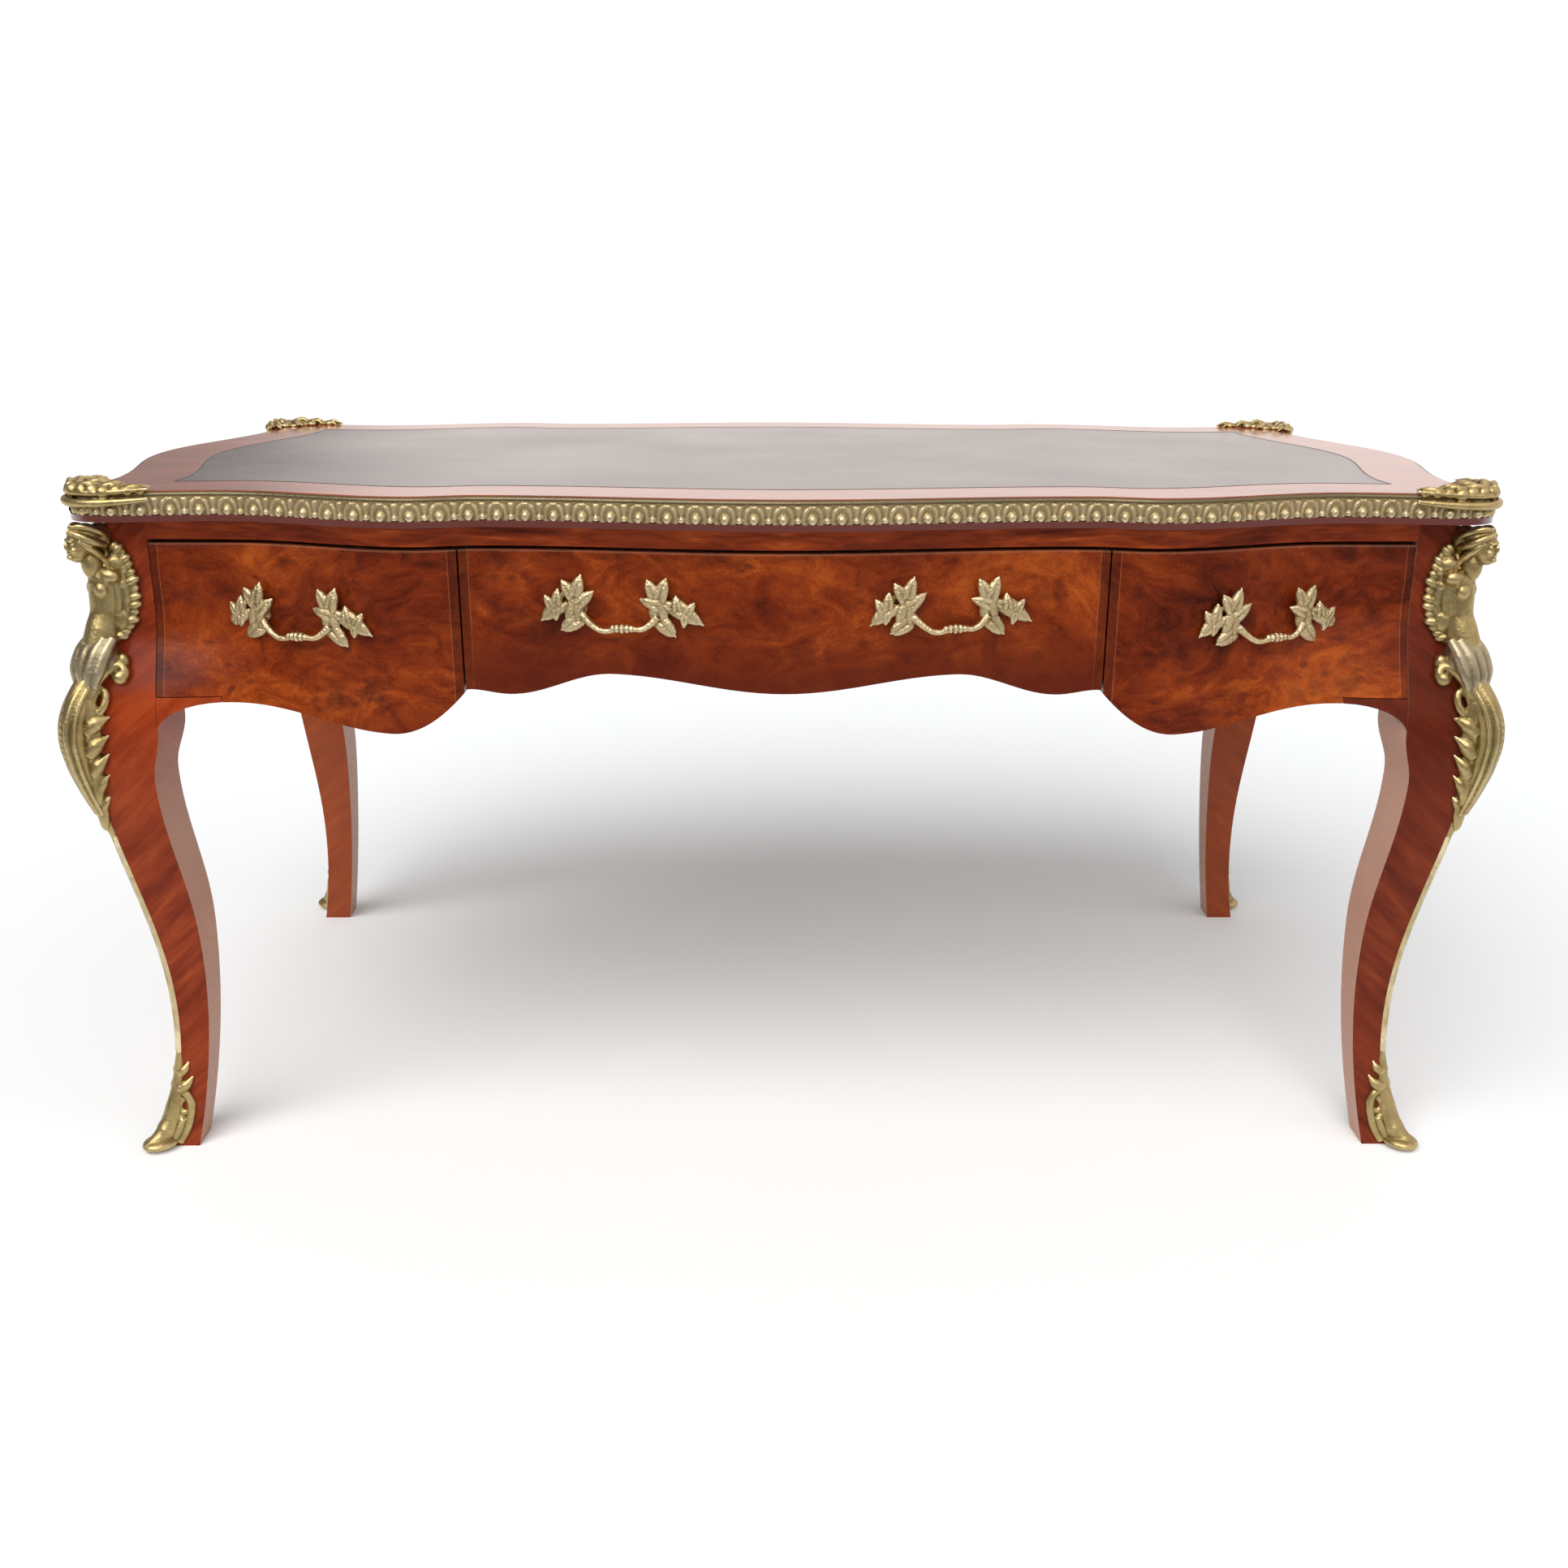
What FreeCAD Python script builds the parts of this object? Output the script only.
import FreeCAD, Part
import math
import os

# Writing desk with a serpentine leather top, three drawers and four cabriole legs.
# Millimetres. +X is to the sitter's right, the front faces -Y, the floor is z = 0.

Vec = FreeCAD.Vector
UP = Vec(0, 0, 1)

# The whole desk. A drop is a distance down from the top.
height = 812.0
cut_overrun = 40.0

# Plan of the top: half sizes of its brass edge, from the desk's centre
front_bow = 450.0
front_dip = 420.0
front_dip_at = 330.0
side_bow = 433.0
side_bow_at = 400.0
front_waist = 384.0
front_waist_at = 615.0
end_bow = 822.0
end_waist = 772.0
end_waist_at = 290.0
lobe_x = 738.0
lobe_y = 345.0
lobe_radius = 50.0

# Top panel, its leather and its brass edge
top_thickness = 33.0
lip_height = 7.0
lip_inset = 3.0
moulding_depth = 9.0
bead_height = 7.0
fillet_height = 4.0
hollow_inset = 3.0
fillet_inset = 1.0
leather_thickness = 1.5
leather_inset = 86.0
leather_gap = 0.3
clasp_run = 88.0
clasp_proud = 3.0
clasp_crown = 12.0
clasp_crown_radius = 42.0

# Case below the top
front_overhang = 26.0
end_overhang = 20.0
board_thickness = 22.0
post_width = 48.0
frieze_height = 23.5
flare_start_x = 440.0
flare_start_y = 120.0

# Play left where a curved board meets the next, for glue
glue_gap = 0.5

# Cabriole leg: how far its outer and inner lines stand from the post, by height
knee_top_drop = 125.0
knee_drop = 270.0
knee_reach = 36.0
ankle_at = 170.0
ankle_draw = 6.0
foot_reach = 14.0
hollow_drop = 330.0
hollow_reach = 11.0
calf_at = 280.0
calf_swell = 5.0
foot_inner_reach = 22.0
arris_flat = 9.0

# Brackets between the legs and the case
bracket_length = 72.0
bracket_tip = 6.0
bracket_seam_drop = 230.0
end_lobe_drop = 260.0

# Drawers
seam_gap = 1.0
frieze_gap = 4.0
divider_x = 355.0
divider_thickness = 18.0
divider_foot_drop = 216.0
side_lobe_x = 438.0
side_lobe_drop = 267.0
side_inner_drop = 220.0
centre_end_drop = 217.0
centre_dip_x = 305.0
centre_dip_drop = 223.0
centre_rise_x = 190.0
centre_rise_drop = 197.0
centre_mid_drop = 215.0
stop_gap = 0.5
box_side = 12.0
box_clearance = 1.5
box_top_gap = 8.0
box_back_y = 110.0
side_box_drop = 203.0
centre_box_drop = 184.0
bottom_thickness = 6.0
bottom_lift = 6.0
groove_depth = 5.0
groove_gap = 0.3
runner_gap = 0.3
runner_height = 12.0
runner_width = 16.0
outer_runner_width = 30.0

# Pulls and their bolts
side_pull_x = 537.0
side_pull_drop = 135.0
centre_pull_x = 178.0
centre_pull_drop = 118.0
leaf_spread = 60.0
leaf_radius = 23.0
leaf_lobe_share = 0.32
leaf_thickness = 9.0
leaf_root = 14.0
bail_radius = 3.5
bail_standoff = 6.0
bail_end_x = 45.0
bail_end_drop = 13.0
bail_drop = 32.0
bolt_radius = 2.5
bolt_gap = 0.3
bolt_grip = 5.0
nut_radius = 6.0
nut_height = 5.0

# Corner figures, leg strips and sabots
figure_top_drop = 35.0
figure_bottom_drop = 405.0
figure_reach = 54.0
figure_half_width = 31.0
figure_root = 22.0
strip_width = 8.0
strip_thickness = 4.0
strip_gap = 0.3
sabot_wall = 3.0
sabot_height = 120.0
sabot_wrap = 21.0
toe_reach = 17.0
toe_height = 62.0

# Screws that hold the top on the two frieze rails
screw_places_x = (180.0, 540.0)
screw_radius = 2.3
screw_head_radius = 4.5
screw_head_height = 4.0
screw_bite = 15.0
screw_gap = 0.3

# Shares of the corner figure's height, outward reach and half width, from its tail up
figure_shares = (
    (0.00, 0.08, 0.16),
    (0.10, 0.30, 0.30),
    (0.22, 0.50, 0.48),
    (0.40, 0.60, 0.72),
    (0.52, 0.72, 0.92),
    (0.60, 0.74, 0.78),
    (0.70, 0.70, 1.00),
    (0.79, 0.64, 0.80),
    (0.835, 0.56, 0.38),
    (0.90, 0.98, 0.66),
    (0.96, 0.96, 0.64),
    (1.00, 0.72, 0.42),
)

steps = 8
rows = 9
ring_points = 12

top_under = height - top_thickness
frieze_under = top_under - frieze_height
knee_top = height - knee_top_drop
knee_at = height - knee_drop
hollow_at = height - hollow_drop
bracket_seam_z = height - bracket_seam_drop
end_lobe_z = height - end_lobe_drop
divider_foot_z = height - divider_foot_drop
side_lobe_z = height - side_lobe_drop
side_inner_z = height - side_inner_drop
centre_end_z = height - centre_end_drop
centre_dip_z = height - centre_dip_drop
centre_rise_z = height - centre_rise_drop
centre_mid_z = height - centre_mid_drop
side_box_z = height - side_box_drop
centre_box_z = height - centre_box_drop
side_pull_z = height - side_pull_drop
centre_pull_z = height - centre_pull_drop
figure_top = height - figure_top_drop
figure_bottom = height - figure_bottom_drop
post_x = end_waist - end_overhang
post_y = front_waist - front_overhang
seam_x = post_x - post_width
seam_y = post_y - post_width
drawer_top = frieze_under - frieze_gap
far = end_bow + front_bow

top_front_knots = (
    (0, front_bow),
    (front_dip_at, front_dip),
    (side_bow_at, side_bow),
    (front_waist_at, front_waist),
    (lobe_x, lobe_y + lobe_radius),
)
top_end_knots = (
    (0, end_bow),
    (end_waist_at, end_waist),
    (lobe_y, lobe_x + lobe_radius),
)


def ease(start, end, share):
    return start + (end - start) * (1 - math.cos(math.pi * share)) / 2


def along(knots, place):
    # Size at a place, eased from each extreme of a line to the next
    if place <= knots[0][0]:
        return knots[0][1]
    for (low, size_low), (high, size_high) in zip(knots, knots[1:]):
        if place <= high:
            return ease(size_low, size_high, (place - low) / (high - low))
    return knots[-1][1]


def places(knots):
    # Places along a line of extremes, a few to each stretch
    found = []
    for (low, _), (high, _) in zip(knots, knots[1:]):
        found += [low + (high - low) * step / steps for step in range(steps)]
    return found + [knots[-1][0]]


def spread(low, high, count):
    return [low + (high - low) * step / (count - 1) for step in range(count)]


def both_sides(values):
    return [-value for value in reversed(values[1:])] + list(values)


def curve(points):
    line = Part.BSplineCurve()
    line.interpolate(points)
    return line.toShape()


def line(start, end):
    return Part.LineSegment(start, end).toShape()


def arc(start, middle, end):
    return Part.Arc(start, middle, end).toShape()


def prism(edges, direction):
    return Part.Face(Part.Wire(edges)).extrude(direction)


def polygon(points, direction):
    return Part.Face(Part.makePolygon(list(points) + [points[0]])).extrude(direction)


def box(low, high):
    size = high - low
    return Part.makeBox(size.x, size.y, size.z, low)


def rod(radius, start, end):
    return Part.makeCylinder(radius, (end - start).Length, start, end - start)


def flip_x(shape):
    return shape.mirror(Vec(0, 0, 0), Vec(1, 0, 0))


def flip_y(shape):
    return shape.mirror(Vec(0, 0, 0), Vec(0, 1, 0))


def top_front(x):
    return along(top_front_knots, abs(x))


def top_end(y):
    return along(top_end_knots, abs(y))


def case_front(x):
    return along(top_front_knots[:-1], abs(x)) - front_overhang


def case_end(y):
    return along(top_end_knots[:-1], abs(y)) - end_overhang


# Top panel, moulding, clasps and leather

def top_outline(inset, z):
    # Closed plan of the top, drawn in by an inset
    radius = lobe_radius - inset
    bevel = radius * math.sqrt(0.5)
    xs = both_sides(places(top_front_knots))
    ys = both_sides(places(top_end_knots))
    front = curve([Vec(x, inset - top_front(x), z) for x in xs])
    back = curve([Vec(x, top_front(x) - inset, z) for x in xs])
    left = curve([Vec(inset - top_end(y), y, z) for y in ys])
    right = curve([Vec(top_end(y) - inset, y, z) for y in ys])
    corners = []
    for sx, sy in ((1, -1), (1, 1), (-1, 1), (-1, -1)):
        corners.append(arc(
            Vec(sx * lobe_x, sy * (lobe_y + radius), z),
            Vec(sx * (lobe_x + bevel), sy * (lobe_y + bevel), z),
            Vec(sx * (lobe_x + radius), sy * lobe_y, z)))
    return Part.__sortEdges__([front, right, back, left] + corners)


def top_slab(inset, low, high):
    return prism(top_outline(inset, low), UP * (high - low))


def leather_slab(inset, low, high):
    # The leather follows the top's edge, and its lines meet at four corners
    x = lobe_x
    for _ in range(rows):
        y = top_front(x) - inset
        x = top_end(y) - inset
    xs = spread(-x, x, 4 * steps + 1)
    ys = spread(-y, y, 2 * steps + 1)
    ends = [top_end(v) - inset for v in ys]
    ends[0] = ends[-1] = x
    sides = [top_front(v) - inset for v in xs]
    sides[0] = sides[-1] = y
    edges = [
        curve([Vec(u, -v, low) for u, v in zip(xs, sides)]),
        curve([Vec(u, v, low) for u, v in zip(ends, ys)]),
        curve([Vec(u, v, low) for u, v in zip(xs, sides)]),
        curve([Vec(-u, v, low) for u, v in zip(ends, ys)]),
    ]
    return prism(Part.__sortEdges__(edges), UP * (high - low))


def make_top():
    lip_top = top_under + lip_height
    leather_z = height - leather_thickness
    panel = top_slab(moulding_depth, top_under, height)
    panel = panel.fuse(top_slab(lip_inset, top_under, lip_top)).removeSplitter()
    panel = panel.cut(leather_slab(leather_inset, leather_z, height + cut_overrun))
    leather = leather_slab(leather_inset + leather_gap, leather_z, height)

    bead_top = lip_top + bead_height
    fillet_z = height - fillet_height
    core = top_slab(moulding_depth, lip_top, height)
    rail = top_slab(0, lip_top, bead_top)
    rail = rail.fuse(top_slab(hollow_inset, bead_top, fillet_z))
    rail = rail.fuse(top_slab(fillet_inset, fillet_z, height)).removeSplitter().cut(core)
    stop_x = lobe_x + lobe_radius - clasp_run
    stop_y = lobe_y + lobe_radius - clasp_run
    front_zone = box(Vec(-stop_x, -far, 0), Vec(stop_x, -stop_y, height))
    right_zone = box(Vec(stop_x, -stop_y, 0), Vec(far, stop_y, height))
    front = rail.common(front_zone)
    right = rail.common(right_zone)

    clasp_zone = box(Vec(stop_x, -far, 0), Vec(far, -stop_y, height))
    band = top_slab(-clasp_proud, lip_top, height).cut(core).common(clasp_zone)
    ball = (clasp_crown_radius ** 2 + clasp_crown ** 2) / (2 * clasp_crown)
    crown = Part.makeSphere(ball, Vec(lobe_x, -lobe_y, height + clasp_crown - ball))
    crown = crown.common(box(Vec(0, -far, height), Vec(far, 0, height + ball)))
    clasp = band.fuse(crown)
    return panel, leather, front, right, clasp


# Legs, and what is fixed along their outer arris

def leg_outer(z):
    if z < ankle_at:
        share = (ankle_at - z) / ankle_at
        return -ankle_draw + (foot_reach + ankle_draw) * share ** 2
    return along(((ankle_at, -ankle_draw), (knee_at, knee_reach), (knee_top, 0)), z)


def leg_inner(z):
    if z < calf_at:
        share = (calf_at - z) / calf_at
        return -calf_swell + (foot_inner_reach + calf_swell) * share ** 2
    return along(((calf_at, -calf_swell), (hollow_at, hollow_reach), (knee_at, 0)), z)


def leg_heights(low, high):
    return spread(low, high, 4 * steps + 1)


def leg_profile(wall, low, high, toe):
    # Offsets and heights of the leg's two lines, each grown by a wall
    outer = [(leg_outer(z) + wall + toe(z), z) for z in leg_heights(low, high)]
    inner = [(leg_inner(z) - post_width - wall, z) for z in leg_heights(low, high)]
    return outer, inner


def two_way_leg(wall, low, high, toe):
    # The same profile sawn from the front and from the side
    outer, inner = leg_profile(wall, low, high, toe)
    sawn = None
    for from_front in (True, False):
        def point(offset, z):
            if from_front:
                return Vec(post_x + offset, 0, z)
            return Vec(0, -post_y - offset, z)
        edges = [
            curve([point(u, z) for u, z in outer]),
            line(point(*outer[-1]), point(*inner[-1])),
            curve([point(u, z) for u, z in inner]),
            line(point(*inner[0]), point(*outer[0])),
        ]
        depth = Vec(0, -far, 0) if from_front else Vec(far, 0, 0)
        blank = prism(Part.__sortEdges__(edges), depth)
        sawn = blank if sawn is None else sawn.common(blank)
    return sawn


diagonal = Vec(1, -1, 0) * math.sqrt(0.5)
across = Vec(1, 1, 0) * math.sqrt(0.5)


def arris(z, out):
    # A point off the leg's flattened outer arris, on its diagonal
    return Vec(post_x, -post_y, z) + diagonal * (leg_outer(z) * math.sqrt(2) - arris_flat / 2 + out)


def arris_band(low, high, inside, outside, width):
    near = [arris(z, inside) for z in leg_heights(low, high)]
    away = [arris(z, outside) for z in leg_heights(low, high)]
    edges = [curve(near), line(near[-1], away[-1]), curve(away), line(away[0], near[0])]
    return prism(Part.__sortEdges__(edges), across * width).translated(across * (-width / 2))


def no_toe(z):
    return 0


def sabot_toe(z):
    return toe_reach * max(0, 1 - z / toe_height) ** 2


def make_leg():
    lower = two_way_leg(0, 0, knee_top, no_toe)
    post = box(Vec(seam_x, -post_y, knee_top), Vec(post_x, -seam_y, top_under))
    leg = lower.fuse(post).removeSplitter()
    flat = arris_band(0, top_under, 0, far, far)
    return leg.cut(flat)


def make_figure(leg):
    rings = []
    for height_share, reach_share, width_share in figure_shares:
        z = figure_bottom + (figure_top - figure_bottom) * height_share
        reach = (figure_reach * reach_share + figure_root) / 2
        centre = arris(z, reach - figure_root)
        half_width = figure_half_width * width_share
        ring = Part.BSplineCurve()
        ring.interpolate([
            centre
            + diagonal * (reach * math.cos(2 * math.pi * step / ring_points))
            + across * (half_width * math.sin(2 * math.pi * step / ring_points))
            for step in range(ring_points)], PeriodicFlag=True)
        rings.append(Part.Wire(ring.toShape()))
    return largest(Part.makeLoft(rings, True, False).cut(leg))


def make_sabot(leg):
    # Only the outer arris is shod: the wrap narrows from the floor to a point at the top
    shoe = two_way_leg(sabot_wall, 0, sabot_height, sabot_toe)
    corners = (arris(0, -sabot_wrap), arris(0, far), arris(sabot_height, far), arris(sabot_height, 0))
    shod = polygon(corners, across * far).translated(across * (-far / 2))
    return largest(shoe.common(shod).cut(leg))


def make_strip(figure):
    low = sabot_height + strip_gap
    strip = arris_band(low, figure_bottom + strip_width, 0, strip_thickness, strip_width)
    return largest(strip.cut(figure))


def largest(shape):
    return max(shape.Solids, key=lambda solid: solid.Volume)


# Case: boards cut from one flowing skin

def flare(z, place, start, end):
    if abs(place) <= start:
        return 0
    return max(0, leg_outer(max(z, knee_at))) * ease(0, 1, min(1, (abs(place) - start) / (end - start)))


def front_y(x, z):
    return -case_front(x) - flare(z, x, flare_start_x, seam_x)


def end_x(y, z):
    return case_end(y) + flare(z, y, flare_start_y, seam_y)


def skin(point, low, high, from_z, to_z):
    columns = spread(low, high, 4 * steps + 1)
    levels = spread(from_z, to_z, rows)
    face = Part.BSplineSurface()
    face.interpolate([[point(place, z) for z in levels] for place in columns])
    return face.toShape()


def front_point(x, z):
    return Vec(x, front_y(x, z), z)


def right_point(y, z):
    return Vec(end_x(y, z), y, z)


def front_board(low, high, from_z, to_z):
    return skin(front_point, low, high, from_z, to_z).extrude(Vec(0, board_thickness, 0))


def right_board(low, high, from_z, to_z):
    return skin(right_point, low, high, from_z, to_z).extrude(Vec(-board_thickness, 0, 0))


def ahead_of(low, high, from_z, to_z):
    # All that lies in front of a board's inner face
    face = skin(front_point, low, high, from_z, to_z)
    return face.translated(Vec(0, board_thickness, 0)).extrude(Vec(0, -far, 0))


def side_bottom(x):
    # Lower edge of a side drawer, from its inner end to the bracket
    crown_x = seam_x - bracket_length
    if x < side_lobe_x:
        share = (side_lobe_x - x) / (side_lobe_x - divider_x)
        return side_lobe_z + (side_inner_z - side_lobe_z) * share ** 2
    return ease(side_lobe_z, bracket_seam_z - bracket_tip, (x - side_lobe_x) / (crown_x - side_lobe_x))


def centre_bottom(x):
    knots = (
        (0, centre_mid_z),
        (centre_rise_x, centre_rise_z),
        (centre_dip_x, centre_dip_z),
        (divider_x, centre_end_z),
    )
    return along(knots, abs(x))


def end_bottom(y):
    return ease(end_lobe_z, bracket_seam_z - bracket_tip, abs(y) / (seam_y - bracket_length))


def side_front_shape():
    # Right-hand drawer front, before its bolt holes
    low_x = divider_x + seam_gap
    high_x = seam_x - seam_gap
    crown_x = seam_x - bracket_length - seam_gap
    board = front_board(low_x, high_x, side_lobe_z - bracket_tip, drawer_top)
    edge = [Vec(x, -far, side_bottom(x)) for x in spread(low_x, crown_x, 4 * steps + 1)]
    corners = [
        edge[-1],
        Vec(crown_x, -far, bracket_seam_z + seam_gap),
        Vec(high_x + cut_overrun, -far, bracket_seam_z + seam_gap),
        Vec(high_x + cut_overrun, -far, 0),
        Vec(low_x - cut_overrun, -far, 0),
        Vec(low_x - cut_overrun, -far, edge[0].z),
        edge[0],
    ]
    sides = [line(start, end) for start, end in zip(corners, corners[1:])]
    return board.cut(prism(Part.__sortEdges__([curve(edge)] + sides), Vec(0, far, 0)))


def centre_front_shape():
    high_x = divider_x - seam_gap
    board = front_board(-high_x, high_x, centre_dip_z - bracket_tip, drawer_top)
    edge = [Vec(x, -far, centre_bottom(x)) for x in spread(-high_x, high_x, 8 * steps + 1)]
    corners = [
        edge[-1],
        Vec(high_x + cut_overrun, -far, edge[-1].z),
        Vec(high_x + cut_overrun, -far, 0),
        Vec(-high_x - cut_overrun, -far, 0),
        Vec(-high_x - cut_overrun, -far, edge[0].z),
        edge[0],
    ]
    sides = [line(start, end) for start, end in zip(corners, corners[1:])]
    return board.cut(prism(Part.__sortEdges__([curve(edge)] + sides), Vec(0, far, 0)))


def bracket_blank(seam):
    # Bracket seen square on: a quarter ellipse from its tip down to the leg
    drop = bracket_seam_z - bracket_tip - knee_at
    tip = seam - bracket_length
    oval = Part.Ellipse(Vec(0, 0, 0), max(bracket_length, drop), min(bracket_length, drop))
    quarter = Part.ArcOfEllipse(oval, 0, math.pi / 2).toShape()
    quarter.rotate(Vec(0, 0, 0), Vec(1, 0, 0), 90)
    quarter.translate(Vec(tip, 0, knee_at))
    sides = [
        line(Vec(seam, 0, knee_at), Vec(seam, 0, bracket_seam_z)),
        line(Vec(seam, 0, bracket_seam_z), Vec(tip, 0, bracket_seam_z)),
        line(Vec(tip, 0, bracket_seam_z), Vec(tip, 0, bracket_seam_z - bracket_tip)),
    ]
    return Part.__sortEdges__([quarter] + sides)


def make_brackets():
    front = front_board(seam_x - bracket_length, seam_x, knee_at, bracket_seam_z)
    front = front.common(prism(bracket_blank(seam_x), Vec(0, -far, 0)))
    side_blank = prism(bracket_blank(seam_y), Vec(0, -far, 0))
    side_blank.rotate(Vec(0, 0, 0), UP, 90)
    side = right_board(seam_y - bracket_length, seam_y, knee_at, bracket_seam_z).common(side_blank)
    front = front.cut(box(Vec(seam_x - glue_gap, -far, 0), Vec(seam_x, 0, height)))
    side = flip_y(side).cut(box(Vec(0, -seam_y, 0), Vec(far, glue_gap - seam_y, height)))
    right = [front, side, flip_y(front), flip_y(side)]
    return Part.makeCompound(right + [flip_x(piece) for piece in right])


def make_end_panel():
    board = right_board(-seam_y, seam_y, end_lobe_z - bracket_tip, top_under)
    crown_y = seam_y - bracket_length
    edge = [Vec(0, y, end_bottom(y)) for y in spread(-crown_y, crown_y, 4 * steps + 1)]
    corners = [
        edge[-1],
        Vec(0, crown_y, bracket_seam_z),
        Vec(0, seam_y + cut_overrun, bracket_seam_z),
        Vec(0, seam_y + cut_overrun, 0),
        Vec(0, -seam_y - cut_overrun, 0),
        Vec(0, -seam_y - cut_overrun, bracket_seam_z),
        Vec(0, -crown_y, bracket_seam_z),
        edge[0],
    ]
    sides = [line(start, end) for start, end in zip(corners, corners[1:])]
    return board.cut(prism(Part.__sortEdges__([curve(edge)] + sides), Vec(far, 0, 0)))


def make_frieze():
    return front_board(-seam_x, seam_x, frieze_under, top_under)


def make_divider(back_boards, friezes):
    reach = case_front(front_dip_at) - board_thickness - stop_gap
    half = divider_thickness / 2
    post = box(Vec(divider_x - half, -reach, divider_foot_z), Vec(divider_x + half, front_bow, top_under))
    behind = flip_y(ahead_of(divider_x - divider_thickness, divider_x + divider_thickness,
                             0, height))
    return largest(post.cut(behind).cut(Part.makeCompound(back_boards + friezes)))


def make_runners():
    half = divider_thickness / 2
    reach = case_front(front_dip_at) - board_thickness - stop_gap
    side_top = side_box_z - runner_gap
    centre_top = centre_box_z - runner_gap
    outer_low = seam_x - outer_runner_width / 2
    right = [
        box(Vec(divider_x + half, -reach, side_top - runner_height),
            Vec(divider_x + half + runner_width, reach, side_top)),
        box(Vec(divider_x - half - runner_width, -reach, centre_top - runner_height),
            Vec(divider_x - half, reach, centre_top)),
        box(Vec(outer_low, -seam_y, side_top - runner_height),
            Vec(outer_low + outer_runner_width, seam_y, side_top)),
    ]
    return Part.makeCompound(right + [flip_x(piece) for piece in right])


# Drawers

def make_box(low_x, high_x, box_z, front):
    # The four boards behind a drawer's front, between two guides
    box_high = drawer_top - box_top_gap
    low = low_x + box_clearance
    high = high_x - box_clearance
    front_part = front.translated(Vec(0, glue_gap, 0))
    groove_z = box_z + bottom_lift
    left = box(Vec(low, -front_bow, box_z), Vec(low + box_side, box_back_y, box_high))
    right = box(Vec(high - box_side, -front_bow, box_z), Vec(high, box_back_y, box_high))
    slot = box(Vec(low + box_side - groove_depth, -front_bow, groove_z - groove_gap),
               Vec(high - box_side + groove_depth, box_back_y - box_side,
                   groove_z + bottom_thickness + groove_gap))
    back = box(Vec(low + box_side, box_back_y - box_side, box_z),
               Vec(high - box_side, box_back_y, box_high))
    bottom = box(Vec(low + box_side - groove_depth + groove_gap, -front_bow, groove_z),
                 Vec(high - box_side + groove_depth - groove_gap, box_back_y - box_side,
                     groove_z + bottom_thickness))
    left = largest(left.cut(slot).cut(front_part))
    right = largest(right.cut(slot).cut(front_part))
    return {"side_left": left, "side_right": right, "back": back, "bottom": largest(bottom.cut(front_part))}


# Pulls, made flat in their own frame and then turned to lie along the front

def leaf_outline(centre_x):
    points = []
    count = 3 * ring_points
    for step in range(count):
        angle = 2 * math.pi * step / count
        radius = leaf_radius * (1 + leaf_lobe_share * math.cos(3 * (angle - math.pi / 2)))
        points.append(Vec(centre_x + radius * math.cos(angle), leaf_root, radius * math.sin(angle)))
    ring = Part.BSplineCurve()
    ring.interpolate(points, PeriodicFlag=True)
    return [ring.toShape()]


def flat_pull():
    bow = arc(Vec(-bail_end_x, -bail_standoff, -bail_end_drop),
              Vec(0, -bail_standoff, -bail_drop),
              Vec(bail_end_x, -bail_standoff, -bail_end_drop))
    start = bow.valueAt(bow.FirstParameter)
    tangent = bow.tangentAt(bow.FirstParameter)
    section = Part.Wire(Part.Circle(start, tangent, bail_radius).toShape())
    pull = Part.Wire(bow).makePipeShell([section], True, True)
    for side in (-1, 1):
        leaf = prism(leaf_outline(side * leaf_spread), Vec(0, -leaf_root - leaf_thickness, 0))
        pull = pull.fuse(leaf)
    return pull


def pull_place(centre_x, z):
    # Turned so that both leaves meet the board
    low = front_point(centre_x - leaf_spread, z)
    high = front_point(centre_x + leaf_spread, z)
    angle = math.degrees(math.atan2(high.y - low.y, high.x - low.x))
    return FreeCAD.Placement((low + high) / 2, FreeCAD.Rotation(UP, angle))


def placed(shape, place):
    moved = shape.copy()
    moved.Placement = place.multiply(moved.Placement)
    return moved


def hang_pull(board, centre_x, z):
    # Returns the drilled board, the pull and its two bolts, each with its nut
    place = pull_place(centre_x, z)
    pull = placed(flat_pull(), place).cut(board)
    behind = board.translated(Vec(0, nut_height, 0))
    bolts = []
    holes = []
    for side in (-1, 1):
        start = Vec(side * leaf_spread, -bolt_grip, 0)
        seat = Vec(side * leaf_spread, leaf_root, 0)
        end = Vec(side * leaf_spread, far, 0)
        tip = placed(rod(bolt_radius, start, seat), place)
        shank = placed(rod(bolt_radius, start, end), place).common(board.fuse(behind))
        nut = placed(rod(nut_radius, start, end), place).common(behind).cut(board)
        bolts.append(tip.fuse(shank).fuse(nut))
        holes.append(placed(rod(bolt_radius + bolt_gap, start, end), place))
    drill = Part.makeCompound(holes)
    return board.cut(drill), largest(pull.cut(drill)), bolts


def screw_line(x):
    y = board_thickness / 2 - case_front(x)
    return Vec(x, y, frieze_under), Vec(x, y, top_under + screw_bite)


def make_screws():
    # Each screw with the hole that it needs
    screws = []
    holes = []
    for x in both_sides((0,) + screw_places_x):
        if x == 0:
            continue
        low, high = screw_line(x)
        neck = low + UP * screw_head_height
        shank = rod(screw_radius, low, high)
        screws.append(shank.fuse(rod(screw_head_radius, low, neck)))
        hole = rod(screw_radius + screw_gap, low, high)
        holes.append(hole.fuse(rod(screw_head_radius + screw_gap, low, neck)))
    screws += [flip_y(screw) for screw in screws]
    holes += [flip_y(hole) for hole in holes]
    return Part.makeCompound(screws), Part.makeCompound(holes)


def write(name, shape):
    shape.exportStep(os.path.join("parts", name + ".step"))


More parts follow.
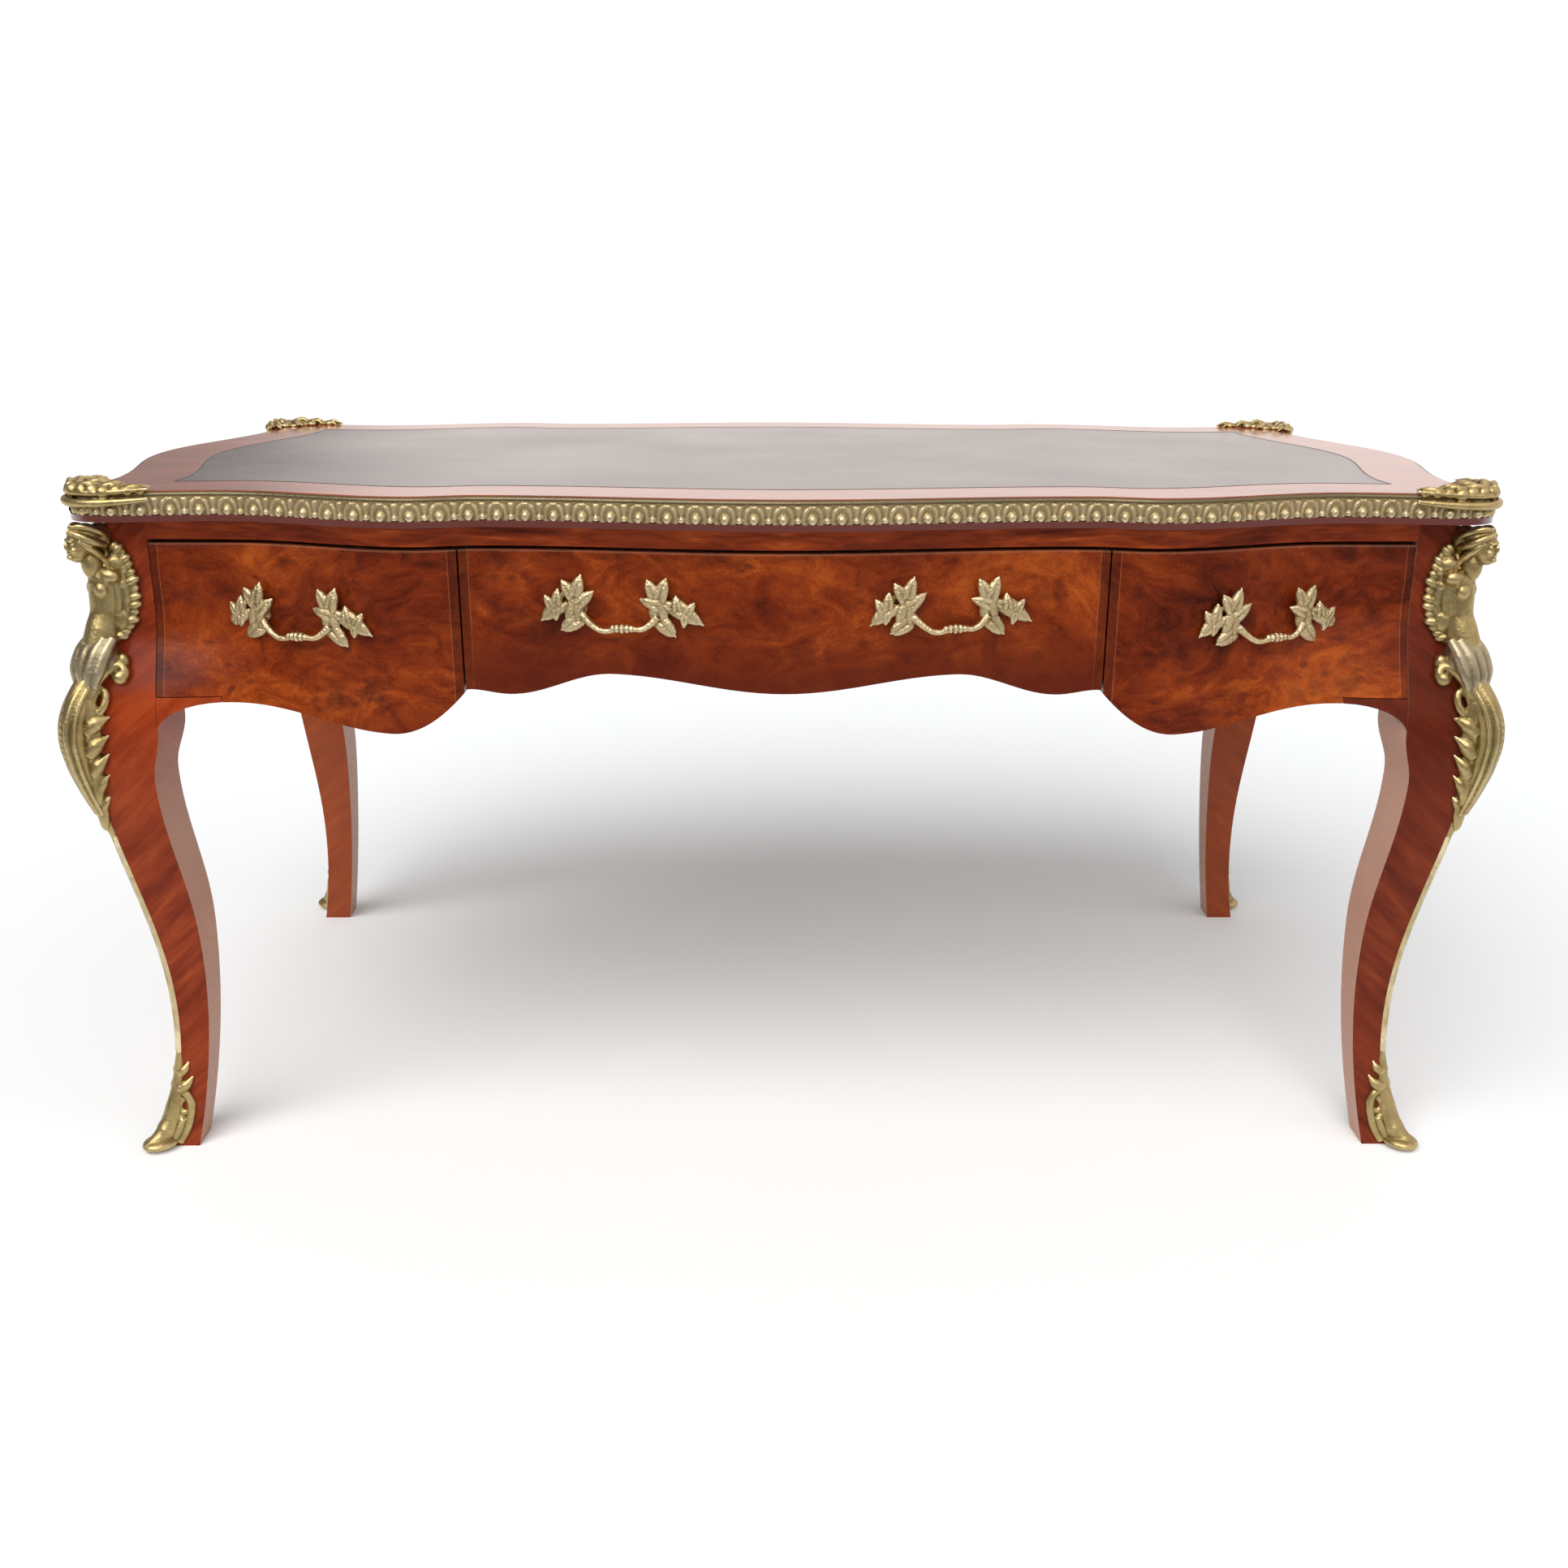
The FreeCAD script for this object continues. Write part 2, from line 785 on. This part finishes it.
def main():
    os.makedirs("parts", exist_ok=True)

    panel, leather, moulding, end_moulding, clasp = make_top()
    screws, screw_holes = make_screws()
    write("top_panel", panel.cut(screw_holes))
    write("leather_writing_surface", leather)
    write("top_moulding_front", moulding)
    write("top_moulding_back", flip_y(moulding))
    write("top_moulding_right", end_moulding)
    write("top_moulding_left", flip_x(end_moulding))
    write("top_fixing_screws", screws)

    leg = make_leg()
    figure = make_figure(leg)
    sabot = make_sabot(leg)
    strip = make_strip(figure)
    for name, shape in (("top_corner_clasp", clasp), ("leg", leg), ("corner_figure", figure),
                        ("sabot", sabot)):
        write(name + "_front_right", shape)
        write(name + "_front_left", flip_x(shape))
        write(name + "_back_right", flip_y(shape))
        write(name + "_back_left", flip_x(flip_y(shape)))
    strips = [strip, flip_x(strip), flip_y(strip), flip_x(flip_y(strip))]
    write("leg_edge_strips", Part.makeCompound(strips))
    write("knee_brackets", make_brackets())

    frieze = make_frieze()
    write("frieze_rail_front", frieze.cut(screw_holes))
    write("frieze_rail_back", flip_y(frieze).cut(screw_holes))
    end_panel = make_end_panel()
    write("end_panel_right", end_panel)
    write("end_panel_left", flip_x(end_panel))

    side_board = side_front_shape()
    centre_board = centre_front_shape()
    side_front, side_pull, side_bolts = hang_pull(side_board, side_pull_x, side_pull_z)
    centre_front, right_pull, right_bolts = hang_pull(centre_board, centre_pull_x, centre_pull_z)
    centre_front, left_pull, left_bolts = hang_pull(centre_front, -centre_pull_x, centre_pull_z)
    centre_bolts = left_bolts + right_bolts

    half = divider_thickness / 2
    side_box = make_box(divider_x + half, seam_x, side_box_z, side_board)
    centre_box = make_box(half - divider_x, divider_x - half, centre_box_z, centre_board)
    write("right_drawer_front", side_front)
    write("left_drawer_front", flip_x(side_front))
    write("centre_drawer_front", centre_front)
    for name, shape in side_box.items():
        other = {"side_left": "side_right", "side_right": "side_left"}.get(name, name)
        write("right_drawer_" + name, shape)
        write("left_drawer_" + other, flip_x(shape))
    for name, shape in centre_box.items():
        write("centre_drawer_" + name, shape)
    write("right_drawer_pull", side_pull)
    write("left_drawer_pull", flip_x(side_pull))
    write("centre_drawer_pull_left", left_pull)
    write("centre_drawer_pull_right", right_pull)
    write("right_drawer_pull_bolts", Part.makeCompound(side_bolts))
    write("left_drawer_pull_bolts", flip_x(Part.makeCompound(side_bolts)))
    write("centre_drawer_pull_bolts", Part.makeCompound(centre_bolts))

    back_right = flip_y(side_front)
    back_left = flip_x(back_right)
    back_centre = flip_y(centre_front)
    write("back_panel_right", back_right)
    write("back_panel_left", back_left)
    write("back_panel_centre", back_centre)
    back_pulls = [side_pull, flip_x(side_pull), left_pull, right_pull]
    write("back_pulls", flip_y(Part.makeCompound(back_pulls)))
    back_bolts = side_bolts + [flip_x(bolt) for bolt in side_bolts] + centre_bolts
    write("back_pull_bolts", flip_y(Part.makeCompound(back_bolts)))

    divider = make_divider([back_right, back_centre], [frieze, flip_y(frieze)])
    write("drawer_divider_right", divider)
    write("drawer_divider_left", flip_x(divider))
    write("drawer_runners", make_runners())


main()
